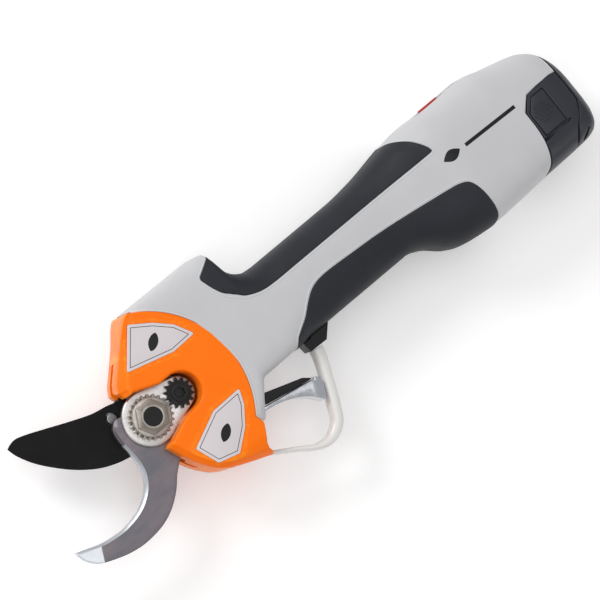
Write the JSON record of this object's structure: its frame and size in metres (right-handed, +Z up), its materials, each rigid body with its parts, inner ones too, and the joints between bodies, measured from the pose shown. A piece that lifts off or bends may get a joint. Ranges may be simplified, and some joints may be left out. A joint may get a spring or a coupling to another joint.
{
  "type": "battery electric pruner",
  "caption": "Hand-held cordless pruning shear with a hooked anvil, a geared swinging blade, a guarded trigger and a slide-in battery pack.",
  "frame": {"origin": "middle of the underside of the bounding box, with the tool lying on its left side", "axes": "+X along the handle from the blades to the battery, +Y towards the thumb side, +Z up along the axis of the blade pivot"},
  "size_m": [0.3074, 0.1034, 0.051],
  "materials": {
    "grey_shell": "fine moulded texture",
    "soft_grip": "matt overmould",
    "orange_cover": "satin moulding",
    "label": "printed plate, blank",
    "guard_grey": "satin moulding",
    "black_plastic": "fine moulded texture",
    "anvil_steel": "ground and etched",
    "blade_steel": "black low-friction coating",
    "case_aluminium": "die cast",
    "plate_steel": "stamped and polished",
    "nut_steel": "sintered",
    "black_steel": "black oxide",
    "bright_steel": "ground",
    "gear_steel": "hobbed",
    "bronze": "sintered",
    "copper": "enamelled wire",
    "motor_black": "powder coated",
    "lamination": "stacked sheets",
    "board": "solder mask",
    "led_clear": "clear light guide",
    "button_red": "soft cap",
    "battery_plastic": "fine moulded texture",
    "cell_wrap": "shrink wrapped",
    "chrome_trim": "plated"
  },
  "bodies": {
    "housing": {"right_shell": "grey_shell", "left_shell": "grey_shell", "right_upper_grip": "soft_grip", "left_upper_grip": "soft_grip", "right_lower_grip": "soft_grip", "left_lower_grip": "soft_grip", "right_head_cover": "orange_cover", "left_head_cover": "orange_cover", "right_labels": "label", "left_labels": "label", "trigger_guard": "guard_grey", "guard_bracket": "black_plastic", "anvil_blade": "anvil_steel", "anvil_screws": "black_steel", "gear_case": "case_aluminium", "pivot_bolt": "black_steel", "thrust_washer": "bronze", "pivot_plate": "plate_steel", "pivot_nut": "nut_steel", "lock_gear": "black_steel", "output_bearings": "bright_steel", "ring_gear": "gear_steel", "gearbox_plate": "case_aluminium", "motor_can": "motor_black", "stator": "lamination", "windings": "copper", "motor_bearings": "bright_steel", "controller_board": "board", "hall_board": "board", "contact_block": "black_plastic", "switch_panel": "black_plastic", "led_lens": "led_clear", "shell_screws": "black_steel", "cover_screws": "black_steel", "trigger_pin": "bright_steel", "trigger_spring": "bright_steel"},
    "blade": {"moving_blade": "blade_steel", "sector_gear": "gear_steel", "blade_drive_pin": "gear_steel", "blade_screws": "black_steel", "pivot_bushing": "bronze"},
    "output": {"bevel_pinion": "gear_steel", "planet_carrier": "gear_steel"},
    "planet_1": {"planet_gear_1": "gear_steel"},
    "planet_2": {"planet_gear_2": "gear_steel"},
    "planet_3": {"planet_gear_3": "gear_steel"},
    "rotor": {"sun_gear": "gear_steel", "rotor_shaft": "bright_steel", "rotor_core": "lamination"},
    "trigger": {"trigger_lever": "chrome_trim", "trigger_insert": "black_plastic", "trigger_magnet": "bright_steel"},
    "button": {"power_button": "button_red"},
    "battery": {"battery_shell": "battery_plastic", "battery_end_cap": "battery_plastic", "battery_cells": "cell_wrap", "bms_board": "board"},
    "right_latch_body": {"right_latch": "battery_plastic"},
    "left_latch_body": {"left_latch": "battery_plastic"}
  },
  "joints": [
    {"name": "blade_close", "type": "hinge", "parent": "housing", "child": "blade", "pos_m": [-0.0903, 0.0091, 0.0255], "axis": [0, 0, 1], "range_deg": [0, 54]},
    {"name": "pinion_spin", "type": "hinge", "parent": "housing", "child": "output", "pos_m": [-0.0403, 0.0091, 0.0255], "axis": [1, 0, 0], "range_deg": [0, 270]},
    {"name": "rotor_spin", "type": "hinge", "parent": "housing", "child": "rotor", "pos_m": [0.0097, 0.0091, 0.0255], "axis": [1, 0, 0], "range_deg": [0, 1080]},
    {"name": "planet_1_spin", "type": "hinge", "parent": "output", "child": "planet_1", "pos_m": [-0.0243, 0.0166, 0.0255], "axis": [1, 0, 0], "range_deg": [-810, 0]},
    {"name": "planet_2_spin", "type": "hinge", "parent": "output", "child": "planet_2", "pos_m": [-0.0243, 0.00535, 0.032], "axis": [1, 0, 0], "range_deg": [-810, 0]},
    {"name": "planet_3_spin", "type": "hinge", "parent": "output", "child": "planet_3", "pos_m": [-0.0243, 0.00535, 0.019], "axis": [1, 0, 0], "range_deg": [-810, 0]},
    {"name": "trigger_pull", "type": "hinge", "parent": "housing", "child": "trigger", "pos_m": [-0.0498, -0.0174, 0.0255], "axis": [0, 0, 1], "range_deg": [0, 14], "stiffness_Nm_per_rad": 0.4, "springref_deg": -14.32},
    {"name": "power_button_press", "type": "slide", "parent": "housing", "child": "button", "axis": [0, -1, 0], "range_m": [0, 0.001], "stiffness_N_per_m": 600, "springref_m": -0.001},
    {"name": "battery_slide", "type": "slide", "parent": "housing", "child": "battery", "axis": [1, 0, 0], "range_m": [0, 0.075]},
    {"name": "right_latch_press", "type": "slide", "parent": "battery", "child": "right_latch_body", "axis": [0, 0, -1], "range_m": [0, 0.0018], "stiffness_N_per_m": 900, "springref_m": -0.001},
    {"name": "left_latch_press", "type": "slide", "parent": "battery", "child": "left_latch_body", "axis": [0, 0, 1], "range_m": [0, 0.0018], "stiffness_N_per_m": 900, "springref_m": -0.001}
  ],
  "couplings": [
    {"joint": "pinion_spin", "follows": "blade_close", "ratio": 5},
    {"joint": "rotor_spin", "follows": "blade_close", "ratio": 20},
    {"joint": "planet_1_spin", "follows": "blade_close", "ratio": -15},
    {"joint": "planet_2_spin", "follows": "blade_close", "ratio": -15},
    {"joint": "planet_3_spin", "follows": "blade_close", "ratio": -15}
  ]
}
